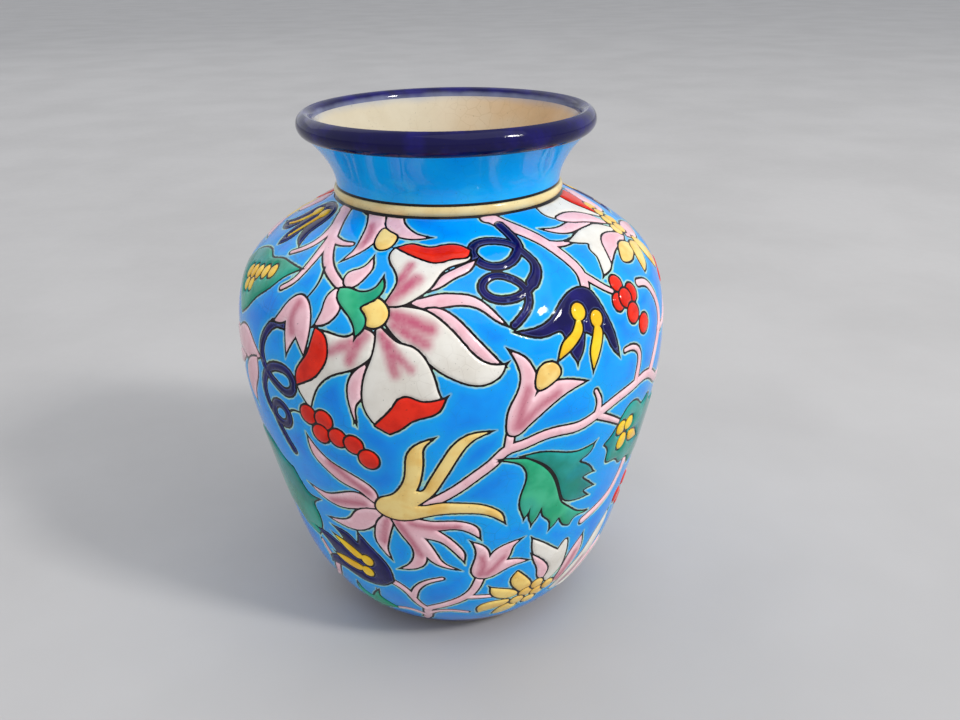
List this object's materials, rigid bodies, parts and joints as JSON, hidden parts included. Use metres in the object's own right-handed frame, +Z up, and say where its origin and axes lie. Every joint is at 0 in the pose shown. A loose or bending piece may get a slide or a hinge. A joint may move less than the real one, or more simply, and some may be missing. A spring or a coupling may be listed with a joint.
{
  "type": "enamelled pottery vase",
  "caption": "Free-standing shouldered pottery vase with a flared neck and rolled rim, floral enamel decoration, open at the top to hold cut flowers.",
  "frame": {"origin": "centre of the foot, on the plane that the foot ring rests on", "axes": "+Z up along the axis of revolution; the face of the decoration shown in the picture looks towards -Y"},
  "size_m": [0.1626, 0.1626, 0.1986],
  "materials": {
    "biscuit": "bare fired earthenware, matt",
    "ivory_glaze": "glossy ivory glaze",
    "cobalt_enamel": "thick glossy cobalt enamel",
    "turquoise_enamel": "thick glossy turquoise enamel with fine crackle",
    "black_print": "printed black outline, satin",
    "cream_enamel": "glossy cream-yellow enamel",
    "yellow_enamel": "glossy yellow enamel",
    "red_enamel": "glossy red enamel",
    "green_enamel": "glossy green enamel",
    "white_enamel": "glossy white enamel",
    "pink_enamel": "glossy pink enamel"
  },
  "bodies": {
    "root": {"clay_body": "biscuit", "interior_glaze": "ivory_glaze", "rim_enamel": "cobalt_enamel", "neck_enamel": "turquoise_enamel", "upper_line": "black_print", "neck_band": "cream_enamel", "lower_line": "black_print", "foot_band": "cobalt_enamel", "ground_enamel": "turquoise_enamel", "yellow_enamel": "yellow_enamel", "red_enamel": "red_enamel", "cobalt_enamel": "cobalt_enamel", "green_enamel": "green_enamel", "white_enamel": "white_enamel", "pink_enamel": "pink_enamel"}
  },
  "joints": []
}
